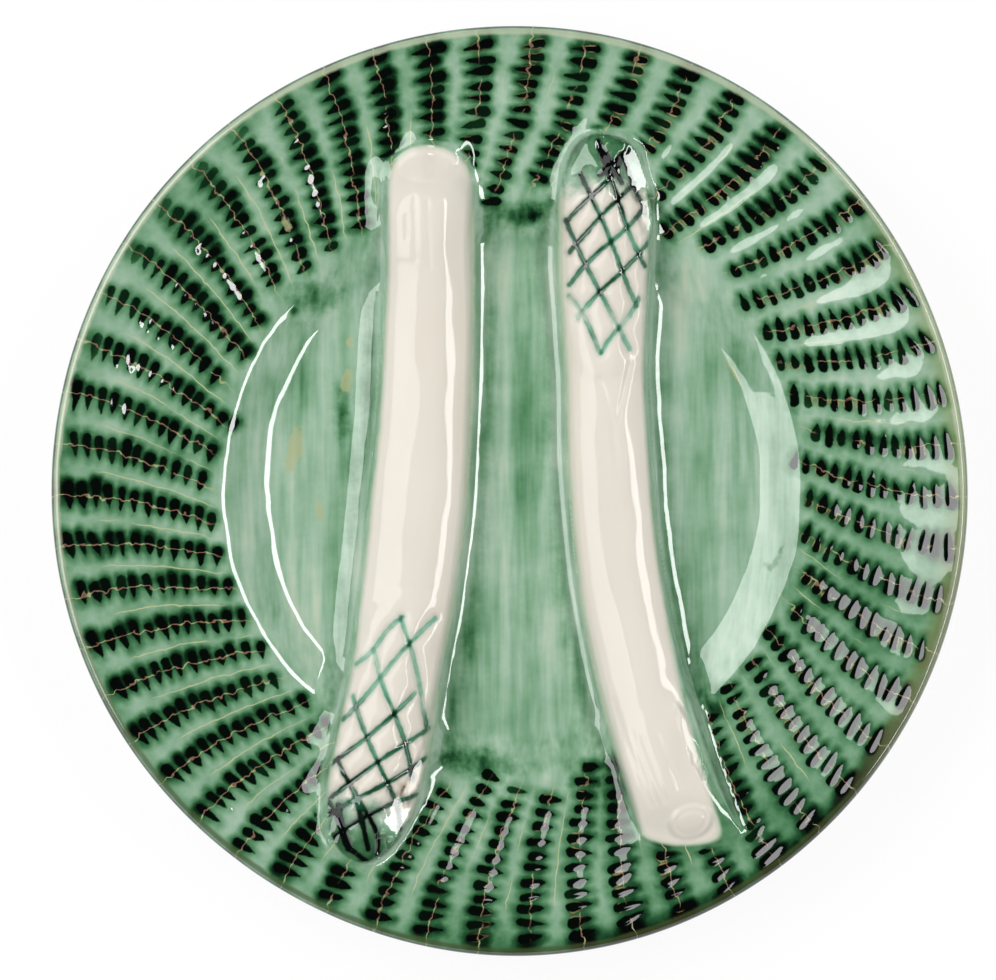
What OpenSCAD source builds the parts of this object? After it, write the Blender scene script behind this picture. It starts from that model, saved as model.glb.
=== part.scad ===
// Round earthenware plate with two asparagus spears laid across it.
// The clay plate is a revolved blank whose rim is gouged with short notches in
// swirling columns. The foot ring and the two spears are separate lumps of clay
// that are luted on with slip, so each one seats face to face on the plate.
// Millimetres, +Z up, origin at the middle of the foot, +Y away from the user.

/* [Plate] */
// Diameter over the lip
plate_d = 250; // [230:1:280]
// Thickness of the clay wall
body_t = 4.8; // [4:0.1:6]
// Diameter of the flat floor of the well
floor_d = 125; // [120:1:132]
// Radial run of the sloping wall between the floor and the rim
wall_run = 19; // [16:0.5:21]
// Radial run of the bend at the foot of that wall and of the one at its top
wall_bend = 4.5; // [3:0.1:6]
// Height of that wall
well_depth = 7.2; // [6:0.1:9]
// Height that the rim climbs between the wall and the lip
rim_rise = 9.5; // [7:0.5:11]
// How far the rim sags below a straight cone, half way out
rim_sag = 1; // [0:0.1:1.5]
// Thickness that the rim thins to at the lip
lip_t = 4; // [3:0.1:5]

/* [Notches] */
// Number of notch columns round the rim
column_count = 54; // [40:1:60]
// Number of notches in a full column
row_count = 12; // [8:1:12]
// Distance from the lip to the first row of notches
first_row_inset = 4.8; // [4:0.1:6]
// Distance between two rows
row_pitch = 3.5; // [3.2:0.1:3.6]
// Width of a notch, along its column
notch_w = 2.2; // [1.6:0.1:2.6]
// Depth of a notch below the rim
notch_depth = 0.9; // [0.5:0.05:1]
// Length of a notch in the outermost row
outer_notch_len = 7.4; // [6:0.1:8]
// Length of a notch in the innermost row
inner_notch_len = 5; // [4:0.1:6]
// Angle that a column swings through on its way inwards
column_sweep = 5.6; // [0:0.1:8]

/* [Foot ring] */
// Diameter over the foot ring
foot_d = 124; // [110:1:124]
// Width of the foot ring where it meets the plate
foot_w = 7; // [5:0.5:9]
// Height of the foot ring
foot_h = 4; // [3:0.5:6]
// Radius of the foot ring's lower edges
foot_edge_r = 1.5; // [0.5:0.1:2]

/* [Spears] */
// Greatest width of the left spear
left_spear_w = 27.8; // [22:0.1:30]
// Greatest width of the right spear
right_spear_w = 26.2; // [22:0.1:30]
// Height that the left spear stands above the floor
left_spear_h = 12.5; // [11:0.5:15]
// Height that the right spear stands above the floor
right_spear_h = 12; // [11:0.5:15]
// Slope of the cut faces at the butt ends
butt_slope = 42; // [38:1:55]
// Width of a scored line on the tips
score_w = 1.2; // [0.8:0.1:1.6]
// Depth of a scored line on the tips
score_depth = 0.8; // [0.4:0.1:1]

/* [Hidden] */
$fn = 60;
plate_r = plate_d / 2;
floor_r = floor_d / 2;
shoulder_r = floor_r + wall_run;
rim_run = plate_r - shoulder_r;
rim_angle = atan(rim_rise / rim_run);
rim_start_slope = (rim_rise - 4 * rim_sag) / rim_run;
wall_slope = (well_depth - rim_start_slope * wall_bend / 2) / (wall_run - wall_bend);
floor_z = foot_h + body_t;
lip_r = lip_t / 2;
rim_steps = 3;
lip_steps = 4;

// Height of the plate's upper surface at radius r, before the notches
function top_z(r) =
    r <= floor_r ? floor_z
    : r < shoulder_r ? floor_z + wall_rise(r - floor_r)
    : floor_z + well_depth + rim_rise_at((r - shoulder_r) / rim_run);
// The wall leaves the floor level, climbs at one slope and eases into the rim's slope
function wall_rise(run) =
    let (foot = min(run / wall_bend, 1), head = max((run - wall_run + wall_bend) / wall_bend, 0))
    wall_slope * (wall_bend * bend_rise(foot) + max(run - wall_bend, 0))
    + (rim_start_slope - wall_slope) * wall_bend * bend_rise(head);
// Height gained along a bend whose slope eases from nothing to one, as shares of its run
function bend_rise(x) = x * x * x - x * x * x * x / 2;
// The rim is a shallow dish: slack at first and steepest at the lip
function rim_rise_at(t) = rim_rise * t - 4 * rim_sag * t * (1 - t);
// The underside is the same curve, moved out by half the wall and lowered by all of it,
// or less towards the lip
function under_z(r) =
    top_z(r - body_t / 2) - body_t + (body_t - lip_t) * ease((r - shoulder_r) / rim_run);
function ease(s) = let (c = min(max(s, 0), 1)) c * c * (3 - 2 * c);

lip_mid_r = plate_r - lip_r;
lip_mid_z = (top_z(lip_mid_r) + under_z(lip_mid_r)) / 2;
lip_half_t = (top_z(lip_mid_r) - under_z(lip_mid_r)) / 2;

// Radii at which the section bends, from the floor's edge outwards
bend_rs = concat(
    [for (run = [0, wall_bend / 2, wall_bend, wall_run - wall_bend, wall_run - wall_bend / 2]) floor_r + run],
    [for (i = [0:rim_steps - 1]) shoulder_r + rim_run * i / rim_steps]
);

// Half section of the plate, from the axis outwards over the top and back underneath
function plate_section() = concat(
    [[0, floor_z]],
    [for (r = bend_rs) [r, top_z(r)]],
    [for (i = [0:lip_steps]) let (a = 90 - rim_angle / 2 - (180 - rim_angle) * i / lip_steps)
        [lip_mid_r + lip_r * cos(a), lip_mid_z + lip_half_t * sin(a)]],
    [for (i = [len(bend_rs) - 1:-1:0]) let (r = bend_rs[i] + body_t / 2) [r, under_z(r)]],
    [[0, floor_z - body_t]]
);

module plate_blank() {
    rotate_extrude() polygon(plate_section());
}

// Places and sizes of the notches, by column k and row j
column_drift = 1.2;
column_drift_from = 150;
first_column_angle = 6.6;
sweep_power = 2.1;
notch_clearance = 0.4;
function row_share(j) = j / (row_count - 1);
function row_r(j) = plate_r - first_row_inset - row_pitch * j;
function column_angle(k, j) =
    let (even = first_column_angle + 360 * k / column_count)
    even + column_drift * cos(even - column_drift_from) + column_sweep * pow(row_share(j), sweep_power);
function column_lean(j) =
    let (swing = column_sweep * sweep_power * pow(row_share(j), sweep_power - 1) / (row_count - 1))
    atan(swing * PI / 180 * row_r(j) / row_pitch);
function notch_len(j) = outer_notch_len + (inner_notch_len - outer_notch_len) * row_share(j);
function notch_place(k, j) = row_r(j) * [cos(column_angle(k, j)), sin(column_angle(k, j))];
function notch_is_clear(k, j) =
    spear_gap(left_spear, notch_place(k, j)) > notch_len(j) / 2 + notch_clearance
    && spear_gap(right_spear, notch_place(k, j)) > notch_len(j) / 2 + notch_clearance;

// A notch is gouged by a boat with a sharp keel: its four sloping sides start above
// the rim and meet along the keel, so the cut is widest where it leaves the clay
keel_share = 0.6;
flare_share = 0.5;
module notch(len) {
    flare = 1 + flare_share;
    half_w = notch_w / 2 * flare;
    half_len = len / 2 * (keel_share + (1 - keel_share) * flare);
    half_keel = len / 2 * keel_share;
    deck_z = notch_depth * flare_share;
    hull() polyhedron(
        [[0, -half_keel, -notch_depth], [0, half_keel, -notch_depth],
            [-half_w, -half_len, deck_z], [half_w, -half_len, deck_z],
            [half_w, half_len, deck_z], [-half_w, half_len, deck_z]],
        [[0, 3, 2], [1, 5, 4], [0, 1, 4, 3], [1, 0, 2, 5], [2, 3, 4, 5]]
    );
}

module notches() {
    for (k = [0:column_count - 1], j = [0:row_count - 1])
        if (notch_is_clear(k, j))
            rotate([0, 0, column_angle(k, j)])
            translate([row_r(j), 0, top_z(row_r(j))])
            rotate([0, -rim_angle, 0])
            rotate([0, 0, column_lean(j)])
            notch(notch_len(j));
}

module plate_body() {
    color("seagreen") difference() {
        plate_blank();
        notches();
    }
}

// Half section of the foot ring: flat on top, rounded at its two lower edges
module foot_section() {
    round_steps = 6;
    inner_r = foot_d / 2 - foot_w;
    outer_r = foot_d / 2;
    polygon(concat(
        [[inner_r, foot_h]],
        [for (i = [0:round_steps]) let (a = 180 + 90 * i / round_steps)
            [inner_r + foot_edge_r * (1 + cos(a)), foot_edge_r * (1 + sin(a))]],
        [for (i = [0:round_steps]) let (a = 270 + 90 * i / round_steps)
            [outer_r - foot_edge_r * (1 - cos(a)), foot_edge_r * (1 + sin(a))]],
        [[outer_r, foot_h]]
    ));
}

module foot_ring() {
    color("darkseagreen") rotate_extrude() foot_section();
}

// A spear runs from its cut butt to its scored tip along a cubic curve on the plate.
// Its record holds: the curve's four points as shares of the plate's radius, its
// greatest width, its height, and pairs of length share and width share.
left_path_shares = [[-0.179, 0.745], [-0.168, 0.224], [-0.2, -0.28], [-0.34, -0.81]];
left_width_shares = [[0, 0.8], [0.07, 0.86], [0.2, 0.92], [0.36, 0.95], [0.5, 1], [0.64, 0.98], [0.7, 0.94],
    [0.78, 0.95], [0.86, 0.96], [0.91, 0.86], [0.95, 0.7], [0.98, 0.46], [1, 0.05]];
right_path_shares = [[0.385, -0.775], [0.18, -0.24], [0.216, 0.272], [0.206, 0.77]];
right_width_shares = [[0, 0.72], [0.06, 0.76], [0.14, 0.8], [0.27, 0.88], [0.36, 0.91], [0.55, 0.91], [0.66, 0.87],
    [0.73, 0.92], [0.82, 1], [0.9, 0.96], [0.94, 0.88], [0.97, 0.74], [0.99, 0.48], [1, 0.05]];
left_spear = [left_path_shares, left_spear_w, left_spear_h, left_width_shares];
right_spear = [right_path_shares, right_spear_w, right_spear_h, right_width_shares];

function spear_path(spear) = spear[0] * plate_r;
function cubic(p, u) = pow(1 - u, 3) * p[0] + 3 * u * pow(1 - u, 2) * p[1] + 3 * u * u * (1 - u) * p[2] + u * u * u * p[3];
function cubic_way(p, u) =
    let (d = pow(1 - u, 2) * (p[1] - p[0]) + 2 * u * (1 - u) * (p[2] - p[1]) + u * u * (p[3] - p[2]))
    d / norm(d);
function spear_mid(spear, u) = cubic(spear_path(spear), u);
function spear_side(spear, u) = let (way = cubic_way(spear_path(spear), u)) [way[1], -way[0]];
function spear_half_w(spear, u) = spear[1] / 2 * lookup(u, spear[3]);
// The crown keeps the spear's height over the floor, climbs in one easy bend towards
// the ends, where it gains a share of what the plate rises, and sinks as the spear narrows
crown_climb_share = 0.7;
bend_from_r = 0.3 * plate_r;
bend_to_r = 0.8 * plate_r;
function crown_climb(r) =
    crown_climb_share * (top_z(bend_to_r) - floor_z) * ease((r - bend_from_r) / (bend_to_r - bend_from_r));
function spear_relief(spear, u) =
    let (r = norm(spear_mid(spear, u)))
    (spear[2] + crown_climb(r) - (top_z(r) - floor_z)) * sqrt(lookup(u, spear[3]));
// Least distance from a point of the plan to the edge of a spear
gap_steps = 40;
function spear_gap(spear, p) =
    min([for (i = [0:gap_steps]) norm(p - spear_mid(spear, i / gap_steps)) - spear_half_w(spear, i / gap_steps)]);

// One cross section: an arch over the plate on two short upright edges, which go on
// down into the plate until the plate's own surface cuts them off
arch_steps = 8;
arch_power = 0.5;
spear_edge_h = 0.7;
function spear_ring(spear, u, inset) =
    let (mid = spear_mid(spear, u), side = spear_side(spear, u),
        half_w = max(spear_half_w(spear, u) - inset, 0),
        arch_h = max(spear_relief(spear, u) - inset - spear_edge_h, 0),
        bed = body_t / 2)
    concat(
        [let (q = mid - side * half_w) [q[0], q[1], top_z(norm(q)) - bed]],
        [for (i = [0:arch_steps]) let (a = 180 - 180 * i / arch_steps, q = mid + side * half_w * cos(a))
            [q[0], q[1], top_z(norm(q)) + spear_edge_h + arch_h * pow(sin(a), arch_power)]],
        [let (q = mid + side * half_w) [q[0], q[1], top_z(norm(q)) - bed]]
    );

// A closed sweep through the cross sections at the given length shares
module spear_sweep(spear, stations, inset) {
    n = arch_steps + 3;
    last = len(stations) - 1;
    points = [for (u = stations) each spear_ring(spear, u, inset)];
    sides = [for (i = [0:last - 1], j = [0:n - 1]) let (a = i * n + j, b = i * n + (j + 1) % n)
        each [[a, a + n, b], [b, a + n, b + n]]];
    ends = [for (j = [1:n - 2]) each [[0, j, j + 1], [last * n, last * n + j + 1, last * n + j]]];
    polyhedron(points, concat(sides, ends));
}

body_stations = 16;
tip_stations = 6;
tip_from = 0.8;
function stations_between(from, to, count) = [for (i = [0:count]) from + (to - from) * i / count];
// Stations crowd towards the tip, where the spear rounds off
function spear_stations() = concat(
    stations_between(0, tip_from, body_stations),
    [for (i = [1:tip_stations]) tip_from + (1 - tip_from) * sin(90 * i / tip_stations)]
);

// The scored lines on a tip, each from one end to the other. A place on a spear is its
// length share and its share of the half width, negative on the left looking to the tip.
// They stop short of the edge, so that the cuts stay in the crown
score_reach_share = 0.84;
left_score_shares = [
    [[0.655, 0], [0.73, 0.8]], [[0.65, -0.65], [0.81, 0.9]], [[0.755, -0.5], [0.875, 0.9]],
    [[0.8, -0.9], [0.92, 0.85]], [[0.84, -0.95], [0.945, 0.8]], [[0.89, -0.95], [0.975, 0.8]],
    [[0.655, 0.05], [0.8, -0.9]], [[0.705, 0.5], [0.87, -0.8]], [[0.775, 0.75], [0.94, -0.85]],
    [[0.865, 0.8], [0.98, -0.7]], [[0.92, 0.95], [0.985, 0.3]]
];
right_score_shares = [
    [[0.98, -0.2], [0.815, 0.8]], [[0.945, -0.6], [0.76, 0.7]], [[0.88, -0.85], [0.7, 0.5]],
    [[0.775, -0.8], [0.695, -0.1]], [[0.97, 0.5], [0.89, 0.8]], [[0.965, 0.45], [0.88, -0.75]],
    [[0.93, 0.65], [0.835, -0.8]], [[0.895, 0.8], [0.79, -0.8]], [[0.85, 0.9], [0.745, -0.6]],
    [[0.77, 0.7], [0.695, -0.1]]
];
function spear_place(spear, at) =
    spear_mid(spear, at[0]) + spear_side(spear, at[0]) * spear_half_w(spear, at[0]) * at[1] * score_reach_share;

// Upright blades along the scored lines, which reach well over the crown
module score_blades(spear, lines) {
    for (line = lines)
        hull()
        for (at = line)
            translate(concat(spear_place(spear, at), foot_h))
            cylinder(h = floor_z + well_depth + spear[2] * 2, d = score_w, $fn = 5);
}

// Turns its children so that they look along the spear from its butt, on the plate
module at_butt(spear) {
    way = cubic_way(spear_path(spear), 0);
    translate(concat(spear_mid(spear, 0), top_z(norm(spear_mid(spear, 0)))))
        rotate([0, 0, atan2(way[1], way[0])])
        children();
}

// What the sloping knife cut takes off the butt end
module butt_offcut(spear) {
    at_butt(spear)
        translate([0, -spear[1], 0])
        rotate([0, 90 - butt_slope, 0])
        translate([-spear[1], 0, -spear[1]])
        cube([spear[1], 2 * spear[1], 4 * spear[1]]);
}

// The oval groove round the pith on the cut face
pith_w_share = 0.8;
pith_h_share = 0.62;
pith_groove_w = 1;
module pith_groove(spear) {
    ring_w = pith_w_share * spear_half_w(spear, 0) * 2;
    ring_h = pith_h_share * spear_relief(spear, 0) / sin(butt_slope);
    at_butt(spear)
        rotate([0, 90 - butt_slope, 0])
        translate([0, 0, spear_relief(spear, 0) / sin(butt_slope) * 0.52])
        rotate([0, 90, 0])
        linear_extrude(2 * score_depth, center = true)
        difference() {
            resize([ring_h, ring_w]) circle(d = ring_w, $fn = 20);
            resize([ring_h - 2 * pith_groove_w, ring_w - 2 * pith_groove_w]) circle(d = ring_w, $fn = 20);
        }
}

score_from = 0.62;
module spear_form(spear, lines) {
    difference() {
        spear_sweep(spear, spear_stations(), 0);
        plate_blank();
        butt_offcut(spear);
        difference() {
            score_blades(spear, lines);
            spear_sweep(spear, [for (u = spear_stations()) if (u > score_from) u], score_depth);
        }
    }
}

module left_spear() {
    color("linen") spear_form(left_spear, left_score_shares);
}

module right_spear() {
    color("linen") difference() {
        spear_form(right_spear, right_score_shares);
        pith_groove(right_spear);
    }
}

plate_body();
foot_ring();
left_spear();
right_spear();
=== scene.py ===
"""Round green-glazed asparagus plate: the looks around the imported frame.

The plate, its foot ring and its two spears are each a closed mesh, built in millimetres. The
plate and the spears follow one set of fields, which are also stored on their vertices: there
the glaze reads how thick it lies and where the spears are left cream.
"""

import functools
import itertools
import math
from types import SimpleNamespace

import bpy
import numpy as np
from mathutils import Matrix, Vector


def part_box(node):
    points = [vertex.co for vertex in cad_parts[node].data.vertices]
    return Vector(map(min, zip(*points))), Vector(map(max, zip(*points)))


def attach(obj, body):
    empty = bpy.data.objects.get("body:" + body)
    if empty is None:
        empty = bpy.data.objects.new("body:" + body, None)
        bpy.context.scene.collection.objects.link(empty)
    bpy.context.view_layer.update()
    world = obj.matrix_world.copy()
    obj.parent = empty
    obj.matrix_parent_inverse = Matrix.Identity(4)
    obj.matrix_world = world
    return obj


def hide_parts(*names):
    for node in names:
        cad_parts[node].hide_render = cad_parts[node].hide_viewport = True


MM = 0.001
SEED = 7

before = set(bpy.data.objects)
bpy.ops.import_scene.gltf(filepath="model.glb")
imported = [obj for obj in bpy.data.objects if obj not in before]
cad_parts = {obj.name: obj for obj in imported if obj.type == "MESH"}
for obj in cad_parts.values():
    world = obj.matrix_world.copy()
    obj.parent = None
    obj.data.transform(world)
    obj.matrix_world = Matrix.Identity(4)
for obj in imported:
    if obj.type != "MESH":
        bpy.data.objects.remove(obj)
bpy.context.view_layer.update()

# Plate and foot ring, in millimetres

plate_low, plate_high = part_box("plate_body")
foot_low, foot_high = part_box("foot_ring")
PLATE_R = (plate_high[0] - plate_low[0]) / 2 / MM
FOOT_R = (foot_high[0] - foot_low[0]) / 2 / MM
FOOT_H = 4.0
FOOT_W = 7.0
BODY_T = 4.8
FLOOR_R = 63.5
SHOULDER_R = 81.5
FOOT_BEND = 7.0
HEAD_BEND = 5.0
WALL_SLOPE = 0.53
LIP_RISE = 16.7
RIM_RUN = PLATE_R - SHOULDER_R
RIM_SAG = 0.6
RIM_START_SLOPE = 0.126
RIM_END_ANGLE = math.radians(17.5)
FLOOR_Z = FOOT_H + BODY_T
LIP_R = 2.0

# How much further in the well's wall starts on the left than in the middle
WELL_SHIFT = 1.6
# Soft ripples on the left of the wall, where it bends: radius, height and width
WALL_RIPPLES = ((66.4, 0.08, 1.5), (78.8, -0.07, 1.4))

# Swing of the lip round a true circle: times round, how far, and where it peaks in degrees
LIP_SWING = ((1, 0.55, 285), (2, 0.95, 95), (3, 0.35, 295), (5, 0.2, 60))

# Notches, in columns down the rim
COLUMN_COUNT = 54
ROW_COUNT = 12
FIRST_ROW_INSET = 4.8
ROW_PITCH = 3.5
NOTCH_W = 2.2
NOTCH_DEPTH = 0.14
OUTER_NOTCH_LEN = 7.0
INNER_NOTCH_LEN = 5.0
COLUMN_SWEEP = 5.6
SWEEP_POWER = 2.1
COLUMN_DRIFT = 1.2
COLUMN_DRIFT_FROM = 150
FIRST_COLUMN_ANGLE = 6.6
NOTCH_LEAN = 8
# Standard deviations of the columns and notches, in millimetres, in degrees or as shares
SPREAD = {
    "column_shift": 0.2, "column_len": 0.06, "inset": 0.5, "row": 0.25, "lean": 5, "shift": 0.25,
    "len": 0.1, "width": 0.13, "depth": 0.15,
}
# Where the outer notches are soft and pale, in degrees
SOFT_AT = 138
SOFT_WIDTH = 22
INNER_DEPTH_SHARE = 0.4
LEFT_FILL_SHARE = 0.6
FLUTE_DEPTH = 0.8
FLUTE_SHIFT = 0.2
# Distance that stands for anywhere far from a mark
FAR = 9.0

# Spears. The path is a cubic curve's four points from butt to tip, as shares of the plate's
# radius. Folds and scores run through places that are shares of the length and of the half
# width, right of the way to the tip. Falls are the crown's slopes down to the right. The rest:
# nose: where it starts along the length, and how full it is
# green_side: how far the body reaches beyond its cream at the butt's right
# apron: its wider side (1 is right), and its reach and rise there
# butt: how far its corners are rounded back, and how far it is cut askew
# pith: its place right of the middle and along, its half sizes, and its inner ring's share
# drips: dark runs off the scored lines, in millimetres of the plan
LEFT_SPEAR = {
    "name": "left_spear",
    "path": ((-0.179, 0.745), (-0.168, 0.224), (-0.2, -0.28), (-0.34, -0.81)),
    "width": 27.8,
    "height": 12.5,
    "widths": ((0, 0.84), (0.07, 0.88), (0.2, 0.92), (0.36, 0.95), (0.5, 1), (0.64, 0.98),
               (0.7, 0.94), (0.78, 0.95), (0.86, 0.96), (1, 0.96)),
    "nose": (0.86, 2.3),
    "green_side": 0,
    "apron": (1, 7.5, 2.4),
    "falls": ((-1, -0.5), (-0.62, -0.37), (-0.42, -0.32), (-0.15, 0), (0.11, 0.2), (0.6, 0.4),
              (0.75, 0.62), (1, 0.8)),
    "butt": (11, 0),
    "pith": (0, 6.6, 7.6, 4, 0),
    "drips": (((-46.5, -85.7), (-45.1, -92.4), (-43.2, -97.8), (-38.9, -101.1)),
              ((-41.9, -83), (-40, -89.7), (-38.4, -97.8))),
    "folds": (((0.075, 0.3), (0.16, 0.27)), ((0.08, 0.02), (0.17, -0.04)),
              ((0.1, 0.47), (0.13, 0.46))),
    "scores": (
        (0.655, 0, 0.73, 0.8), (0.65, -0.65, 0.81, 0.9), (0.755, -0.5, 0.875, 0.9),
        (0.8, -0.9, 0.92, 0.85), (0.84, -0.95, 0.945, 0.8), (0.89, -0.95, 0.975, 0.8),
        (0.655, 0.05, 0.8, -0.9), (0.705, 0.5, 0.87, -0.8), (0.775, 0.75, 0.94, -0.85),
        (0.865, 0.8, 0.98, -0.7), (0.92, 0.95, 0.985, 0.3),
    ),
}
RIGHT_SPEAR = {
    "name": "right_spear",
    "path": ((0.385, -0.775), (0.18, -0.24), (0.216, 0.272), (0.206, 0.77)),
    "width": 26.2,
    "height": 12,
    "widths": ((0, 0.79), (0.06, 0.81), (0.14, 0.83), (0.27, 0.88), (0.36, 0.91), (0.55, 0.91),
               (0.66, 0.87), (0.73, 0.92), (0.82, 1), (1, 1)),
    "nose": (0.82, 3),
    "green_side": 4.6,
    "apron": (-1, 3.5, 1.2),
    "falls": ((-1, -0.8), (-0.76, -0.62), (-0.6, -0.4), (-0.22, -0.2), (0.1, 0), (0.42, 0.32),
              (0.62, 0.37), (1, 0.5)),
    "butt": (4.2, 0.3),
    "pith": (3, 5.9, 6.4, 4.9, 0.66),
    "drips": (((23.8, 94.1), (27.6, 87.8), (30.3, 82.7)), ((31.9, 91.4), (27.6, 87.8), (24.3, 84.6))),
    "folds": (((0.22, -0.72), (0.14, -0.62), (0.07, -0.5)), ((0.17, -0.46), (0.07, -0.36)),
              ((0.16, -0.26), (0.07, -0.12)), ((0.16, 0.12), (0.08, 0.3)),
              ((0.66, -0.2), (0.6, 0.1), (0.54, 0.12)), ((0.68, 0.55), (0.6, 0.2))),
    "scores": (
        (0.98, -0.2, 0.815, 0.8), (0.945, -0.6, 0.76, 0.7), (0.88, -0.85, 0.7, 0.5),
        (0.775, -0.8, 0.695, -0.1), (0.97, 0.5, 0.89, 0.8), (0.965, 0.45, 0.88, -0.75),
        (0.93, 0.65, 0.835, -0.8), (0.895, 0.8, 0.79, -0.8), (0.85, 0.9, 0.745, -0.6),
        (0.77, 0.7, 0.695, -0.1),
    ),
}
CROWN_CLIMB_SHARE = 0.7
BEND_FROM_R = 0.3 * PLATE_R
BEND_TO_R = 0.8 * PLATE_R
TIP_DROP_SHARE = 0.2
SIDE_POWER = 7.0
TIP_SIDE_POWER = 3.2
# The body's sides and its tip's end start from a height at the outline
SIDE_SLOPE = 5.0
SIDE_START_H = 0.8
SIDE_ROUNDING = 3.0
TIP_SLOPE = 0.72
TIP_START_H = 0.5
TIP_ROUNDING = 4.0
BURIED_SLOPE = 2.6
FAR_ABOVE = 20.0
BUTT_SLOPE = math.tan(math.radians(35))
BUTT_ROUNDING = 3.4
PITH_H = 1.4
PITH_GROOVE_DEPTH = 0.2
SCORE_W = 1.8
SCORE_DEPTH = 0.45
PILLOW_H = 0.5
DRIP_HALF_W = 0.1
FOLD_HALF_W = 1.4
FOLD_DEPTH = 0.26
APRON_REACH = 5.0
APRON_RISE = 1.45
FILLET = 3.4
TIP_FILLET_MORE = 0.8

# Flat places on the spears: place, half sizes, turn in degrees, slopes down to the right and away
FLAT_PLACES = (
    (35, 85.5, 3.6, 8.5, 15, 0.31, -0.03), (37.4, 74, 2.6, 5.5, 8, 0.31, -0.02),
    (-29.2, -88, 4.4, 8, -20, 0.36, 0.13), (-25.4, -78, 1.7, 6.5, -20, 0.357, 0.12),
    (48.4, -68, 1.3, 9.5, 20, 0.293, 0.11),
)
# Small drops of glaze: place, half size and height
DROPS = (
    (-28.9, 85.4, 1, 0.1), (-15.9, 85.4, 0.9, 0.1), (-94, 74.5, 1.6, 0.2), (-91, 67.6, 1, 0.2),
)
# More of them at notches' pointed ends, between two directions past a distance from the middle
DROP_CHANCE = 0.26
DROP_H = 0.24
DROP_PLACES = ((128, 166, 98), (206, 246, 104))

# Marks in the glaze: place, half sizes and turn in degrees, pale and tan or thick and dark
PALE_MARKS = ((-43.8, 39.7, 1, 1.8, 0), (-44.6, 29.2, 1.7, 3.8, -8), (-59, 10, 2.6, 7.5, -15),
              (-60.8, 71.9, 1.2, 2.6, 20), (61.5, 31, 0.5, 5.5, 30), (-52, -6, 1, 3, 10))
DARK_MARKS = ((-58.7, 48.1, 2.2, 2.2, 0), (-53, 52, 9, 6, 40), (-10, -75, 14, 4.5, 0),
              (3, 75, 12, 4.5, 0), (30, -74, 8, 4, 0),
              (40, 76, 6, 3, -50), (-46, 22, 3, 9, 0), (56, -60, 6, 3, -50))


# Small maths

def ease(x):
    c = np.clip(x, 0, 1)
    return c * c * (3 - 2 * c)


def step(low, high, x):
    return ease((x - low) / (high - low))


def smooth_max(a, b, k):
    h = np.maximum(k - np.abs(a - b), 0) / k
    return np.maximum(a, b) + h * h * k / 4


def smooth_min(a, b, k):
    return -smooth_max(-a, -b, k)


def ripple(x, y, wavelength, seed, waves=12):
    """Soft unevenness of about unit height: a sum of plane waves near one wavelength."""
    rng = np.random.default_rng(SEED + seed)
    total = np.zeros_like(x)
    for _ in range(waves):
        turn = rng.uniform(0, 2 * math.pi)
        number = 2 * math.pi / wavelength * rng.uniform(0.6, 1.5)
        phase = rng.uniform(0, 2 * math.pi)
        total += np.cos(number * (x * math.cos(turn) + y * math.sin(turn)) + phase)
    return total / math.sqrt(waves / 2)


# The plate's plain surfaces

def lip_swing(theta):
    return sum(far * np.cos(n * (theta - math.radians(at))) for n, far, at in LIP_SWING)


def swung(r, theta):
    """Radius at which a ring of a perfectly round plate ends up."""
    return r + lip_swing(theta) * step(FLOOR_R, PLATE_R, r)


def unswung(r, theta):
    """Ring of the perfectly round plate that ends up at a radius."""
    ring = r - lip_swing(theta) * step(FLOOR_R, PLATE_R, r)
    return r - lip_swing(theta) * step(FLOOR_R, PLATE_R, ring)


def bend(x):
    """Height gained along a bend whose slope eases from nothing to one, as shares of its run."""
    c = np.clip(x, 0, 1)
    return c**3 - c**4 / 2 + np.maximum(x - 1, 0)


def top_z(r, east=0.0):
    """Height of the face at a radius; east is the cosine of the angle from the right."""
    start = FLOOR_R + WELL_SHIFT * east
    wall = WALL_SLOPE * FOOT_BEND * bend((np.minimum(r, SHOULDER_R) - start) / FOOT_BEND)
    head = bend(1 - np.maximum(SHOULDER_R - r, 0) / HEAD_BEND)
    head = np.where(r > SHOULDER_R - HEAD_BEND, head, 0)
    wall = wall - (WALL_SLOPE - RIM_START_SLOPE) * HEAD_BEND * head
    straight = SHOULDER_R - start - FOOT_BEND / 2 - HEAD_BEND / 2
    depth = WALL_SLOPE * straight + RIM_START_SLOPE * HEAD_BEND / 2
    t = np.maximum((r - SHOULDER_R) / RIM_RUN, 0)
    return FLOOR_Z + wall + (LIP_RISE - depth) * t - 4 * RIM_SAG * t * (1 - t)


def under_z(r, east=0.0):
    return top_z(r - BODY_T / 2, east) - BODY_T + (BODY_T - 2 * LIP_R) * step(SHOULDER_R, PLATE_R, r)


def unevenness(x, y, r):
    """The hand's traces in the clay."""
    broad = 0.12 * ripple(x, y, 36, 1) * step(30, 90, r)
    shelves = sum(high * np.exp(-((r - at) / wide)**2) for at, high, wide in WALL_RIPPLES)
    return broad + 0.04 * ripple(x, y, 24, 2) + 0.008 * ripple(x, y, 9, 3) + shelves * step(-20, -50, x)


# Columns and notches

def column_angle(k, share):
    even = FIRST_COLUMN_ANGLE + 360 * k / COLUMN_COUNT
    drift = COLUMN_DRIFT * math.cos(math.radians(even - COLUMN_DRIFT_FROM))
    return even + drift + COLUMN_SWEEP * share**SWEEP_POWER


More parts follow.
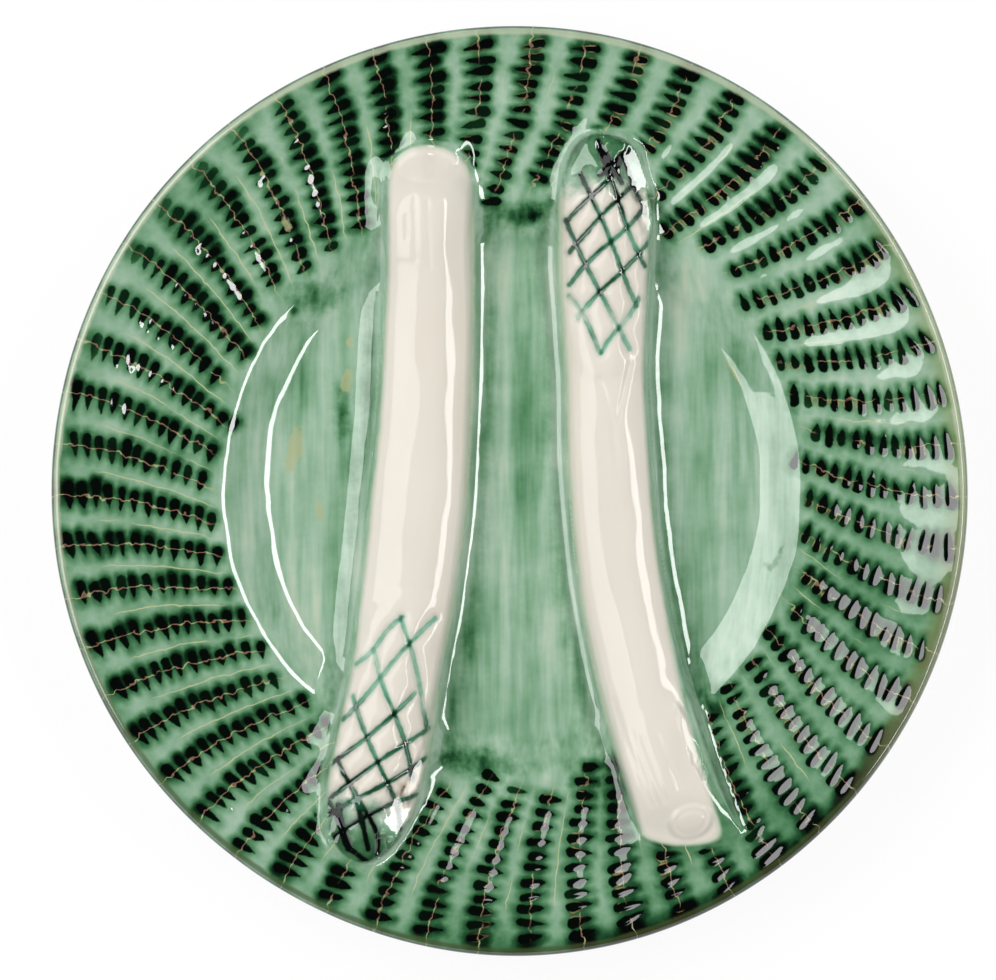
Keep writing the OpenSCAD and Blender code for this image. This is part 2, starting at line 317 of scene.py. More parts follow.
def column_phase(r, theta):
    """Turns past the first column's line, one turn for each column."""
    share = np.clip((PLATE_R - FIRST_ROW_INSET - r) / (ROW_PITCH * (ROW_COUNT - 1)), 0, 1.15)
    even = np.degrees(theta) - COLUMN_SWEEP * share**SWEEP_POWER
    drift = COLUMN_DRIFT * np.cos(np.radians(even - COLUMN_DRIFT_FROM))
    return (even - drift - FIRST_COLUMN_ANGLE) * COLUMN_COUNT / 360


def notch_fullness(r, angle):
    """Share of its depth that a notch keeps: glaze fills the inner ones and those on the left."""
    kept = INNER_DEPTH_SHARE + (1 - INNER_DEPTH_SHARE) * step(90, 104, r)
    return kept * (1 - LEFT_FILL_SHARE * step(-20, -70, r * math.cos(angle)))


def make_notches():
    """Place, turn, length, width, depth, ink and taper of every notch, each a little different."""
    rng = np.random.default_rng(SEED)
    notches = []
    for k in range(COLUMN_COUNT):
        column_shift = rng.normal(0, SPREAD["column_shift"])
        column_len = rng.normal(1, SPREAD["column_len"])
        inset = FIRST_ROW_INSET - rng.normal(0, SPREAD["inset"])
        row_count = ROW_COUNT - rng.choice([-1, 0, 0, 0, 1])
        for j in range(row_count):
            share = j / (ROW_COUNT - 1)
            r = PLATE_R - inset - ROW_PITCH * j + rng.normal(0, SPREAD["row"])
            swing = math.radians(COLUMN_SWEEP) * SWEEP_POWER * share**(SWEEP_POWER - 1) / (ROW_COUNT - 1)
            lean = math.radians(NOTCH_LEAN + rng.normal(0, SPREAD["lean"]))
            lean -= 0.9 * math.atan(swing * r / ROW_PITCH)
            shift = column_shift + rng.normal(0, SPREAD["shift"])
            angle = math.radians(column_angle(k, share)) + shift / r
            length = OUTER_NOTCH_LEN + (INNER_NOTCH_LEN - OUTER_NOTCH_LEN) * min(share, 1)
            r = float(swung(r, angle))
            soft = math.exp(-((math.degrees(angle) % 360 - SOFT_AT) / SOFT_WIDTH)**2) * max(0, 1 - j / 3)
            length *= column_len * rng.normal(1, SPREAD["len"])
            width = NOTCH_W * rng.normal(1, SPREAD["width"])
            depth = NOTCH_DEPTH * rng.normal(1, SPREAD["depth"]) * (1 - 0.5 * soft)
            depth *= float(notch_fullness(r, angle))
            ink = (1 - 0.7 * soft) * (1 - 0.35 * rng.random()**3)
            taper = rng.uniform(1.4, 3.2)
            x, y = r * math.cos(angle), r * math.sin(angle)
            notches.append((x, y, angle + math.pi / 2 + lean, length, width, depth, ink, taper))
    return notches


def notch_fields(x, y):
    """Distance from the nearest notch's edge, how deep the notches are and how dark."""
    gap = np.full_like(x, FAR)
    depth = np.zeros_like(x)
    ink = np.ones_like(x)
    for nx, ny, turn, length, width, deep, dark, taper in NOTCHES:
        near = np.nonzero((np.abs(x - nx) < 7) & (np.abs(y - ny) < 7))[0]
        dx, dy = x[near] - nx, y[near] - ny
        along = dx * math.cos(turn) + dy * math.sin(turn)
        aside = dy * math.cos(turn) - dx * math.sin(turn)
        # A drop: round at its clockwise end, drawn out to a point at the other
        blunt = width / 2
        run = length - blunt
        t = np.clip((along + length / 2 - blunt) / run, 0, 1)
        centre = -length / 2 + blunt + t * run
        d = np.hypot(along - centre, aside) - blunt * (1 - t**taper) - 0.05
        depth[near] = np.maximum(depth[near], deep * step(0.3, -blunt, d))
        closer = d < gap[near]
        ink[near[closer]] = dark
        gap[near] = np.minimum(gap[near], d)
    return gap, depth, ink


def make_drops():
    """Drops of glaze at the pointed ends of a few notches on the left, beside the listed ones."""
    rng = np.random.default_rng(SEED + 30)
    drops = list(DROPS)
    for x, y, turn, length, *_ in NOTCHES:
        around, out = math.degrees(math.atan2(y, x)) % 360, math.hypot(x, y)
        wanted = any(low < around < high and out > least for low, high, least in DROP_PLACES)
        if rng.random() < DROP_CHANCE and wanted:
            far = length / 2 + 0.1
            at_x, at_y = x + far * math.cos(turn), y + far * math.sin(turn)
            drops.append((at_x, at_y, rng.uniform(1.1, 1.7), DROP_H))
    return drops


def drop_height(x, y):
    height = np.zeros_like(x)
    for at_x, at_y, size, high in ALL_DROPS:
        near = np.nonzero((np.abs(x - at_x) < size) & (np.abs(y - at_y) < size))[0]
        far = np.hypot(x[near] - at_x, y[near] - at_y) / size
        height[near] += high * np.maximum(1 - far**2, 0)**2
    return height


# Spears

def spear_line(spear):
    """The spear's middle line in the plan, with the way it runs and its length so far."""
    u = np.linspace(0, 1, 300)[:, None]
    p = np.array(spear["path"]) * PLATE_R
    xy = (1 - u)**3 * p[0] + 3 * u * (1 - u)**2 * p[1] + 3 * u**2 * (1 - u) * p[2] + u**3 * p[3]
    way = np.gradient(xy, axis=0)
    way /= np.hypot(way[:, 0], way[:, 1])[:, None]
    gone = np.concatenate([[0], np.cumsum(np.hypot(*np.diff(xy, axis=0).T))])
    return {"xy": xy, "way": way, "gone": gone, "total": gone[-1]}


def half_width(spear, share):
    """Half the spear's width at a share of its length, closing over the rounded nose."""
    at, value = zip(*spear["widths"])
    fine = np.linspace(0, 1, 401)
    window = np.hanning(35)[1:-1]
    soft = np.convolve(np.pad(np.interp(fine, at, value), 16, mode="edge"), window / window.sum(), "valid")
    start, power = spear["nose"]
    nose = (1 - np.clip((share - start) / (1 - start), 0, 1)**power)**(1 / power)
    return spear["width"] / 2 * np.interp(share, fine, soft) * nose


def place(line, gone, aside):
    """Points of the plan from lengths along the middle line and distances right of it."""
    middle = [np.interp(gone, line["gone"], line["xy"][:, i]) for i in (0, 1)]
    way = [np.interp(gone, line["gone"], line["way"][:, i]) for i in (0, 1)]
    # Past either end the line runs straight on
    past = gone - np.clip(gone, 0, line["total"])
    x = middle[0] + way[0] * past + way[1] * aside
    y = middle[1] + way[1] * past - way[0] * aside
    return x, y


def nearest_on(points, x, y, block=20000):
    """Index of the nearest of the points for each place."""
    index = np.empty(len(x), int)
    for start in range(0, len(x), block):
        part = slice(start, start + block)
        square = (x[part, None] - points[None, :, 0])**2 + (y[part, None] - points[None, :, 1])**2
        index[part] = np.argmin(square, axis=1)
    return index


def gap_to_segment(a, b, x, y):
    """Distance in the plan from the line between two points, or from each place's own line."""
    way_x, way_y = (b - a).T
    dx, dy = x - a.T[0], y - a.T[1]
    t = np.clip((dx * way_x + dy * way_y) / np.maximum(way_x**2 + way_y**2, 1e-9), 0, 1)
    return np.hypot(dx - t * way_x, dy - t * way_y)


def gap_to_loop(points, x, y):
    """Distance from a closed loop of points: the nearest point's two sides are measured."""
    index = nearest_on(points, x, y)
    gaps = [gap_to_segment(points[index], points[(index + turn) % len(points)], x, y) for turn in (-1, 1)]
    return np.minimum(*gaps)


def butt_curve(spear, v, aside):
    """Where the body begins: rounded back towards its sides, and cut askew."""
    round_back, skew = spear["butt"]
    return round_back * (1 - np.sqrt(1 - 0.97 * np.clip(v, -1, 1)**2)) - skew * aside


def green_side(spear, share):
    """How far the body reaches beyond its cream on its right side, next to the butt."""
    return spear["green_side"] * step(0.45, 0.0, share)


def outline(spear, line):
    """The spear's outline in the plan: up the right side, round the nose, back and over the butt."""
    total = line["total"]
    half = half_width(spear, 0.03)
    half_right = half + green_side(spear, 0.03)
    sides = []
    for sign, start_half in ((1, half_right), (-1, half)):
        start = butt_curve(spear, sign, sign * start_half)
        gone = start + (total - start) * (1 - np.linspace(1, 0, 260)**1.6)
        wide = half_width(spear, gone / total) + (green_side(spear, gone / total) if sign > 0 else 0)
        sides.append(np.array([gone, sign * wide]))
    across = np.linspace(-1, 1, 90)
    aside = across * np.where(across > 0, half_right, half)
    butt = (butt_curve(spear, across, aside), aside)
    return np.stack(place(line, *np.concatenate([sides[0], sides[1][:, ::-1], butt], axis=1)), 1)


def gaps_to(runs, x, y):
    """Distance in the plan from the nearest of several polylines, and how strongly they meet."""
    nearest = np.full_like(x, FAR)
    meeting = np.zeros_like(x)
    for run in runs:
        gap = np.full_like(x, FAR)
        for a, b in zip(run[:-1], run[1:]):
            gap = np.minimum(gap, gap_to_segment(a, b, x, y))
        nearest = np.minimum(nearest, gap)
        meeting += np.exp(-(gap / 1.1)**2)
    return nearest, meeting


def run_on(spear, line, share, v):
    """Points of the plan from shares of a spear's length and of its half width."""
    return np.stack(place(line, share * line["total"], half_width(spear, share) * v), 1)


def fold_runs(spear, line):
    """The folds of the bracts as runs of points in the plan."""
    runs = []
    for fold in spear["folds"]:
        fine, coarse = np.linspace(0, 1, 9), np.linspace(0, 1, len(fold))
        share, v = [np.interp(fine, coarse, values) for values in zip(*fold)]
        runs.append(run_on(spear, line, share, v))
    return runs


def score_runs(spear, line):
    """The scored lines of a tip as wandering runs of points in the plan."""
    rng = np.random.default_rng(SEED + 40)
    runs = []
    t = np.linspace(0, 1, 14)
    for u0, v0, u1, v1 in spear["scores"]:
        share = u0 + (u1 - u0) * t
        bow = 0.05 * np.sin(math.pi * t * rng.uniform(1, 2.4)) * rng.choice([-1, 1])
        runs.append(run_on(spear, line, share, v0 + (v1 - v0) * t + bow))
    return runs


def crown_profile(spear, v):
    """Height across the crown, one at its top, from how steeply it falls at each place across."""
    at, fall = zip(*spear["falls"])
    fine = np.linspace(-1, 1, 401)
    height = -np.cumsum(np.interp(fine, at, fall)) * (fine[1] - fine[0])
    return 1 + np.interp(v, fine, height - height.max())


def spear_places(spear, line, x, y):
    """Where places lie on a spear: along it, aside of its middle and out of its outline."""
    index = nearest_on(line["xy"], x, y)
    dx, dy = x - line["xy"][index, 0], y - line["xy"][index, 1]
    way = line["way"][index]
    gone = line["gone"][index] + dx * way[:, 0] + dy * way[:, 1]
    aside = dx * way[:, 1] - dy * way[:, 0]
    share = np.clip(gone / line["total"], 0, 1)
    cream_half = np.maximum(half_width(spear, share), 0.01)
    v = aside / (cream_half + np.where(aside > 0, green_side(spear, share), 0))
    from_butt = gone - butt_curve(spear, v, aside)
    inside = (np.abs(v) < 1) & (from_butt > 0) & (gone < line["total"])
    out = gap_to_loop(outline(spear, line), x, y)
    return SimpleNamespace(
        x=x, y=y, gone=gone, aside=aside, share=share, cream_half=cream_half, v=v,
        from_butt=from_butt, out=np.where(inside, -out, out),
    )


def body_height(spear, at, r):
    """The rounded body over the plate: an uneven crown with full sides, lower toward the tip."""
    climb = CROWN_CLIMB_SHARE * (top_z(BEND_TO_R) - FLOOR_Z) * step(BEND_FROM_R, BEND_TO_R, r)
    relief = (spear["height"] + climb - (top_z(r) - FLOOR_Z)) * np.sqrt(at.cream_half / spear["width"] * 2)
    relief = relief * (1 - TIP_DROP_SHARE * step(0.86, 1.0, at.share))
    power = SIDE_POWER + (TIP_SIDE_POWER - SIDE_POWER) * step(0.8, 0.97, at.share)
    sides = (1 - np.clip(np.abs(at.v), 0, 1)**power)**(1 / power)
    waves = 0.17 * ripple(at.gone * 0.8, at.aside * 1.4, 46, 11)
    waves = waves + 0.02 * ripple(at.gone, at.aside * 1.5, 20, 12)
    crowned = relief * crown_profile(spear, np.clip(at.v, -1, 1)) + waves
    return smooth_min(crowned * sides, SIDE_START_H - SIDE_SLOPE * at.out, SIDE_ROUNDING)


def cut_butt(spear, at, dome):
    """The body cut to a slope at its butt, with a groove round the pith, or two where it shows."""
    aside, gone, half_w, half_h, inner = spear["pith"]
    oval = np.hypot((at.aside - aside) / half_w, (at.gone - gone) / half_h)
    groove = np.exp(-((oval - 1) * half_h / 0.6)**2)
    face = at.from_butt * BUTT_SLOPE + 0.4 * step(1.15, 0.2, oval)
    if inner:
        groove = 2 * np.maximum(groove, np.exp(-((oval - inner) * half_h / 0.5)**2))
        face = face + PITH_H * step(1.2, 0.7, oval)
    return smooth_min(dome, face, BUTT_ROUNDING) - PITH_GROOVE_DEPTH * groove * (at.from_butt < 18)


def tip_marks(spear, line, at):
    """Distance from the nearest scored line, how strongly such lines meet, and their relief."""
    score = np.full_like(at.x, FAR)
    meeting = np.zeros_like(at.x)
    tip = (at.share > 0.6) & (at.out < 0.5)
    x, y = at.x[tip], at.y[tip]
    score[tip], meeting[tip] = gaps_to(score_runs(spear, line), x, y)
    drip, _ = gaps_to([np.array(run) for run in spear["drips"]], x, y)
    score[tip] = smooth_min(score[tip], drip - DRIP_HALF_W, 1.0)
    pillow = PILLOW_H * step(0.3, 3.2, score) * step(8.5, 4.5, score)
    cut = SCORE_DEPTH * step(SCORE_W / 2, -0.4, score)
    return score, meeting, step(-0.3, -2.0, at.out) * (pillow - cut)


def apron_height(spear, at, total):
    """Clay smoothed down to the plate beside the spear, further out on one side, and its reach."""
    side, side_reach, side_rise = spear["apron"]
    on_side = step(-0.4, 0.4, at.v * side) * step(0, 16, at.gone) * step(total, total - 30, at.gone)
    reach = APRON_REACH + (side_reach - APRON_REACH) * on_side
    rise = APRON_RISE + (side_rise - APRON_RISE) * on_side
    rise = rise * (1 - 0.7 * step(0.87, 0.97, at.share))
    return rise * np.clip(1 - at.out / reach, 0, 1)**(1.5 + 0.5 * on_side), reach


def spear_fields(spear, x, y, r):
    """Lift of a spear over the plate and the fields that colour it."""
    line = spear_line(spear)
    at = spear_places(spear, line, x, y)
    dome = cut_butt(spear, at, body_height(spear, at, r))
    tip_cap = TIP_START_H - TIP_SLOPE * at.out + FAR_ABOVE * step(0.96, 0.82, at.share)
    dome = smooth_min(dome, tip_cap, TIP_ROUNDING)
    dome = np.where(at.out > 0, -BURIED_SLOPE * at.out, dome)
    score, meeting, tip_relief = tip_marks(spear, line, at)
    dome += tip_relief
    on_body = at.out < 0
    fold_gap, _ = gaps_to(fold_runs(spear, line), x[on_body], y[on_body])
    dome[on_body] -= FOLD_DEPTH * step(FOLD_HALF_W, 0, fold_gap)

    apron, reach = apron_height(spear, at, line["total"])
    lift = smooth_max(dome, apron, FILLET + TIP_FILLET_MORE * step(0.85, 1.0, at.share))
    lift = np.where(at.out > 0, np.maximum(lift, 0), lift)
    return {
        "lift": np.where(at.out > reach, 0, lift),
        "out": at.out,
        "cream": smooth_min(-at.out, at.cream_half - at.aside, 5),
        "share": at.share,
        "score": score,
        "meeting": meeting,
    }


def mark_field(marks, x, y):
    """How deep a place lies within the nearest of the marks, one at a mark's middle."""
    field = np.full_like(x, -1.0)
    for at_x, at_y, half_x, half_y, turn in marks:
        a = math.radians(turn)
        dx, dy = x - at_x, y - at_y
        across, along = dx * math.cos(a) + dy * math.sin(a), dy * math.cos(a) - dx * math.sin(a)
        field = np.maximum(field, 1 - np.hypot(across / half_x, along / half_y))
    return field


# Everything together: height of the plate's face and the fields that colour it

def face_fields(x, y, flat_places=()):
    """Ground, lift, gap to the nearest spear's outline, and the fields that the glaze reads."""
    theta = np.arctan2(y, x)
    r = unswung(np.hypot(x, y), theta)
    gap, notch_depth, ink = notch_fields(x, y)
    parts = [spear_fields(spear, x, y, r) for spear in (LEFT_SPEAR, RIGHT_SPEAR)]
    nearer = parts[0]["out"] < parts[1]["out"]
    spear = {key: np.where(nearer, parts[0][key], parts[1][key]) for key in parts[0]}
    clear = step(0.2, 2.2, spear["out"])
    turn = 2 * math.pi * column_phase(r, theta)
    on_rim = step(SHOULDER_R - 2, SHOULDER_R + 9, r) * step(PLATE_R - 3, PLATE_R - 19, r)
    shallow = 1 - 0.45 * np.exp(-((np.degrees(theta) + 58) / 32)**2)
    flute = FLUTE_DEPTH / 2 * shallow * (1 + np.cos(turn + 2 * math.pi * FLUTE_SHIFT)) * on_rim
    ground = top_z(r, np.cos(theta)) + unevenness(x, y, r) - flute - notch_depth * clear
    lift = spear["lift"] + drop_height(x, y)
    for *mark, fall_x, fall_y, high in flat_places:
        within = mark_field((mark,), x, y) + 0.12 * ripple(x, y, 4, 25)
        within = within - step(-1.1, 0.1, spear["out"])
        at_x, at_y, *_ = mark
        plane = high - fall_x * (x - at_x) - fall_y * (y - at_y)
        lift += step(-0.25, 0.1, within) * (plane - ground - lift)
    fields = {
        "notch": np.minimum(gap + 4 * (1 - clear), FAR),
        "ink": ink,
        "flute_c": np.cos(turn),
        "flute_s": np.sin(turn),
        "ring": r,
        "cream": np.clip(spear["cream"], -FAR, FAR),
        **{key: spear[key] for key in ("share", "score", "meeting")},
        "pale_tone": mark_field(PALE_MARKS, x, y),
        "dark": mark_field(DARK_MARKS, x, y),
    }
    return ground, lift, spear["out"], fields


def set_flat_places():
    """The flat places, each with the height that the surface has at its middle."""
    places = np.array(FLAT_PLACES)
    ground, lift, _, _ = face_fields(places[:, 0], places[:, 1])
    return [(*place_row, high) for place_row, high in zip(FLAT_PLACES, (ground + lift).tolist())]


# Meshes

# How deep the plate's own face runs below the spears
BURIED_DEPTH = 0.8
# A spear's own skin: its steps, how far it lies over the plate's face and its edge tucks under
# it, how far past the outline it ends, and how thick it is
SKIN_STEPS = (0.6, 0.4)
SKIN_OVER = 0.04
SKIN_TUCK = 0.16
SKIN_REACH = 3.2
SKIN_T = 1.2


def add_object(name, data):
    thing = bpy.data.objects.new(name, data)
    bpy.context.scene.collection.objects.link(thing)
    return thing


def add_mesh(name, points, faces, material):
    """An object from points in metres."""
    mesh = bpy.data.meshes.new(name)
    mesh.from_pydata(points.tolist(), [], faces)
    mesh.materials.append(material)
    return add_object(name, mesh)


def make_piece(name, points, faces, fields, material, node):
    """A visible piece from points in millimetres, with its fields stored on the vertices."""
    piece = add_mesh(name, points * MM, faces, material)
    mesh = piece.data
    mesh.shade_smooth()
    for key, values in fields.items():
        layer = mesh.attributes.new(key, "FLOAT", "POINT")
        layer.data.foreach_set("value", values.astype(np.float32))
    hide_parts(node)
    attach(piece, "root")


def stitch(start, count, next_start, next_count):
    """Faces between two rings of points. Their counts match or differ twofold, or one is a point."""
    if count > next_count:
        return [face[::-1] for face in stitch(next_start, next_count, start, count)]
    if count == 1:
        return [(start, next_start + i, next_start + (i + 1) % next_count) for i in range(next_count)]
    faces = []
    for i in range(count):
        near, far = start + i, start + (i + 1) % count
        if count == next_count:
            faces.append((near, next_start + i, next_start + (i + 1) % count, far))
        else:
            a, b, c = [next_start + (2 * i + k) % next_count for k in range(3)]
            faces += [(near, a, b), (near, b, far), (far, b, c)]
    return faces


def ring_faces(counts):
    """Faces of a mesh of rings, each joined to the next, from how many points each has."""
    starts = [0, *itertools.accumulate(counts)]
    faces = []
    for k in range(len(counts) - 1):
        faces += stitch(starts[k], counts[k], starts[k + 1], counts[k + 1])
    return faces


def ring_points(r, z, count):
    """Points of a level ring; its radius may vary round it."""
    theta = np.arange(count) * 2 * math.pi / count
    return np.stack([r * np.cos(theta), r * np.sin(theta), np.full(count, z)], 1)


def plate_rings():
    """Rings from the middle of the face to the middle of the underside: radius, height, side, count."""
    lip_start = PLATE_R - LIP_R - LIP_R * math.sin(RIM_END_ANGLE)
    face = np.concatenate([
        np.arange(0.8, 60, 0.8), np.arange(60, SHOULDER_R, 0.55), np.arange(SHOULDER_R, lip_start, 0.42),
    ])
    counts = [135 if r < 14 else 270 if r < 30 else 540 if r < 60 else 1080 for r in face]
    rings = [(0, FLOOR_Z, 1, 1), *((r, float(top_z(r)), 1, count) for r, count in zip(face, counts))]
    lip_z = top_z(lip_start) - LIP_R * math.cos(RIM_END_ANGLE)
    for i in range(13):
        a = math.pi / 2 + RIM_END_ANGLE - math.pi * i / 12
        rings.append((PLATE_R - LIP_R + LIP_R * math.cos(a), lip_z + LIP_R * math.sin(a), 1 - i / 12, 1080))
    last_r, last_z = rings[-1][:2]
    fit = last_z - under_z(last_r)
    for r in np.concatenate([np.arange(last_r - 0.9, 60, -1.3), np.arange(60, 1, -2.2)]):
        count = 540 if r > 100 else 270 if r > 40 else 135
        rings.append((r, under_z(r) + fit * step(90, last_r, r), 0, count))
    return [*rings, (0, FLOOR_Z - BODY_T, 0, 1)]


def build_plate(material):
    """The plate, face and underside, as rings of points; its face is sunk below the spears."""
    *values, counts = np.array(plate_rings()).T
    counts = counts.astype(int)
    r, z, top = [np.repeat(value, counts) for value in values]
    theta = np.concatenate([np.arange(n) * 2 * math.pi / n for n in counts])
    out_r = swung(r, theta)
    x, y = out_r * np.cos(theta), out_r * np.sin(theta)
    east = np.cos(theta) * (r > 0)
    z += unevenness(x, y, r) + top_z(r, east) - top_z(r)
    face = top > 0.5
    ground, lift, out, on_face = face_fields(x[face], y[face], SET_FLAT_PLACES)
    sunk = step(-0.4, -2.4, out)
    plain = top_z(r[face], east[face]) + unevenness(x[face], y[face], r[face])
    z[face] += (ground - plain) * step(PLATE_R - 0.6, PLATE_R - 3, r[face])
    z[face] += lift * (1 - sunk) - BURIED_DEPTH * sunk
    fields = {}
    unmarked = {"notch": FAR, "ink": 1.0, "cream": -FAR, "score": FAR}
    for key, values in on_face.items():
        fields[key] = np.full(len(r), unmarked.get(key, 0.0))
        fields[key][face] = values
    fields |= {"ring": r, "top": top}
    points, faces = np.stack([x, y, z], 1), ring_faces(counts.tolist())
    make_piece("plate", points, faces, fields, material, "plate_body")


def build_spear(spear, material):
    """A spear's own skin, feathered into the plate's face and closed inside the clay."""
    line = spear_line(spear)
    widest = spear["width"] / 2 + 4.5
    along = np.arange(-5, line["total"] + 5, SKIN_STEPS[0])
    across = np.arange(-widest, widest + SKIN_STEPS[1] / 2, SKIN_STEPS[1])
    grid_gone, grid_aside = np.meshgrid(along, across, indexing="ij")
    x, y = place(line, grid_gone.ravel(), grid_aside.ravel())
    ground, lift, out, fields = face_fields(x, y, SET_FLAT_PLACES)
    skin = ground + lift + SKIN_OVER - SKIN_TUCK * step(1.0, 3.0, out)
    bed = ground - SKIN_T
    index = np.arange(len(x)).reshape(grid_gone.shape)
    quads = np.stack([index[:-1, :-1], index[:-1, 1:], index[1:, 1:], index[1:, :-1]], -1).reshape(-1, 4)
    quads = quads[(out[quads] < SKIN_REACH).all(1)]
    edges = {(quad[i - 1], quad[i]) for quad in quads.tolist() for i in range(4)}
    border = sorted((a, b) for a, b in edges if (b, a) not in edges)
    walls = np.array([(b, a, a + len(x), b + len(x)) for a, b in border])
    faces = np.concatenate([quads, quads[:, ::-1] + len(x), walls])
    used, renumbered = np.unique(faces, return_inverse=True)
    points = np.stack([np.tile(x, 2), np.tile(y, 2), np.concatenate([skin, bed])], 1)[used]
    fields = {key: np.tile(values, 2)[used] for key, values in fields.items()}
    fields["top"] = np.ones(len(used))
    name, faces = spear["name"] + "_relief", renumbered.reshape(faces.shape).tolist()
    make_piece(name, points, faces, fields, material, spear["name"])


def build_foot(material):
    """The turned foot, rounded below and set into the plate."""
    outer, inner = FOOT_R, FOOT_R - FOOT_W
    section = []
    for middle, size, start in ((inner + 2.2, 2.2, 180), (outer - 1.8, 1.8, 270)):
        for a in np.radians(np.linspace(start, start + 90, 7)):
            section.append((middle + size * math.cos(a), 1.6 + 1.6 * math.sin(a)))
    section += [(outer, 2.6), (outer, 3.4), (outer, FOOT_H + 0.9), (inner, FOOT_H + 0.9), (inner, 3.2)]
    count = 360
    theta = np.arange(count) * 2 * math.pi / count
    wave = 0.12 * np.cos(3 * theta + 1) + 0.07 * np.cos(7 * theta + 2)
    points = [ring_points(r + wave * min(z / 2, 1), z, count) for r, z in section]
    faces = ring_faces([count] * len(section)) + stitch(count * (len(section) - 1), count, 0, count)
    make_piece("foot", np.concatenate(points), faces, {}, material, "foot_ring")


# Materials

# The floor's own tone, and the strength and share of the white that the camera sees there
FLOOR_TONE = 0.94
WHITE_STRENGTH = 1.04
WHITE_SHARE = 0.86


def srgb(*colour):
    """A colour in bytes as Blender's linear one."""
    shares = (c / 255 for c in colour)
    return tuple(((c + 0.055) / 1.055)**2.4 if c > 0.04 else c / 12.92 for c in shares) + (1,)


class Graph:
    """Short names for the node kinds that the materials use; places are in millimetres."""

    def __init__(self, name):
        self.material = bpy.data.materials.new(name)
        self.material.use_nodes = True
        self.tree = self.material.node_tree
        self.tree.nodes.clear()
        place = self.node("TexCoord", {}, "Object")
        self.mm = self.node("VectorMath", {0: place, "Scale": 1 / MM}, operation="SCALE")

    def node(self, kind, values, output=0, **settings):
        """One output of a new node whose inputs take the values, or links from other nodes."""
        node = self.tree.nodes.new("ShaderNode" + kind)
        for key, value in settings.items():
            setattr(node, key, value)
        for key, value in values.items():
            if isinstance(value, bpy.types.NodeSocket):
                self.tree.links.new(value, node.inputs[key])
            else:
                node.inputs[key].default_value = value
        return node.outputs[output]

    def math(self, operation, a, b=0.0):
        return self.node("Math", {0: a, 1: b}, operation=operation)

    def chain(self, operation, *terms):
        return functools.reduce(lambda a, b: self.math(operation, a, b), terms)

    add = functools.partialmethod(chain, "ADD")
    times = functools.partialmethod(chain, "MULTIPLY")
    largest = functools.partialmethod(chain, "MAXIMUM")

    def rest(self, value):
        return self.math("SUBTRACT", 1.0, value)

    def blend(self, share, a, b):
        return self.add(self.times(a, self.rest(share)), self.times(b, share))

    def field(self, name):
        return self.node("Attribute", {}, "Fac", attribute_name=name)

    def axis(self, name):
        return self.node("SeparateXYZ", {0: self.mm}, name)

    def noise(self, size, amount=1.0, stretch=(1, 1, 1), detail=2, shift=0, rough=0.5):
        """Smooth noise of about plus or minus the amount, with features of a size in millimetres."""
        scale = tuple(s / size for s in stretch)
        away = (shift, shift * 1.7, shift * 0.6)
        at = self.node("VectorMath", {0: self.mm, 1: scale, 2: away}, operation="MULTIPLY_ADD")
        values = {"Vector": at, "Scale": 1, "Detail": detail, "Roughness": rough}
        return self.times(self.math("SUBTRACT", self.node("TexNoise", values, "Fac"), 0.5), 3 * amount)

    def step(self, low, high, value, amount=1.0):
        """Eases from nothing at low to the amount at high, whichever of the two is larger."""
        values = {
            "Value": value, "From Min": min(low, high), "From Max": max(low, high),
            "To Min": amount * (low > high), "To Max": amount * (low < high),
        }
        return self.node("MapRange", values, interpolation_type="SMOOTHSTEP")

    def mix(self, share, a, b):
        return self.node("Mix", {0: share, 6: a, 7: b}, 2, data_type="RGBA")

    def ramp(self, value, stops):
        colour = self.node("ValToRGB", {0: value}, "Color")
        elements = colour.node.color_ramp.elements
        while len(elements) < len(stops):
            elements.new(0.5)
        for element, (at, stop) in zip(elements, stops):
            element.position = at
            element.color = srgb(*stop)
        return colour

    def end(self, shader):
        """The material, with the shader as its surface."""
        output = self.tree.nodes.new("ShaderNodeOutputMaterial")
        self.tree.links.new(shader, output.inputs[0])
        return self.material

    def finish(self, colour, roughness, height, distance, ior, coat):
        """The material as one glossy or matt body, with a bump of a distance in metres."""
        bump = self.node("Bump", {"Distance": distance, "Height": height}, "Normal")
        values = {"Base Color": colour, "Roughness": roughness, "Normal": bump, "IOR": ior}
        return self.end(self.node("BsdfPrincipled", {**values, "Coat Normal": bump, **coat}))


# Colours of the glazes and the clay

GLAZE_STOPS = (
    (0.0, (208, 222, 198)), (0.2, (174, 206, 180)), (0.4, (134, 178, 143)), (0.58, (88, 142, 99)),
    (0.72, (44, 96, 58)), (0.85, (14, 48, 24)), (0.94, (3, 17, 7)), (1.0, (1, 5, 3)),
)
SCORE_STOPS = (
    (0.0, (176, 212, 190)), (0.3, (108, 172, 142)), (0.6, (38, 100, 70)), (0.8, (12, 44, 28)),
    (1.0, (3, 9, 6)),
)
OLIVE = srgb(158, 172, 118)
# Colours of the painted reflections along the rim's columns and ridges
COLUMN_REFLECTION = srgb(190, 192, 142)
REFLECTION_IN_NOTCH = srgb(150, 116, 94)
RIDGE_REFLECTION = srgb(206, 214, 162)
CURL_TAN = srgb(176, 158, 112)
PALE_MARK_TAN = srgb(192, 196, 146)
PALE_BAND = srgb(206, 214, 184)
DARK_BAND = srgb(74, 84, 48)
DEEP_CREAM = srgb(241, 233, 219)
LIGHT_CREAM = srgb(246, 239, 227)
GREENISH_CREAM = srgb(208, 218, 196)
FIRED_CLAY = srgb(203, 178, 150)
LIGHT_CLAY = srgb(222, 200, 174)
CLAY_SPECK = srgb(140, 108, 82)
RUN_EDGE = srgb(120, 112, 70)

# Thickness of the glaze, from 0 where it is thinnest to 1 where it is nearly black
WELL_THICK = 0.3
RIM_THICK = 0.25
HALO_THICK = 0.88
POOL_THICK = 0.99


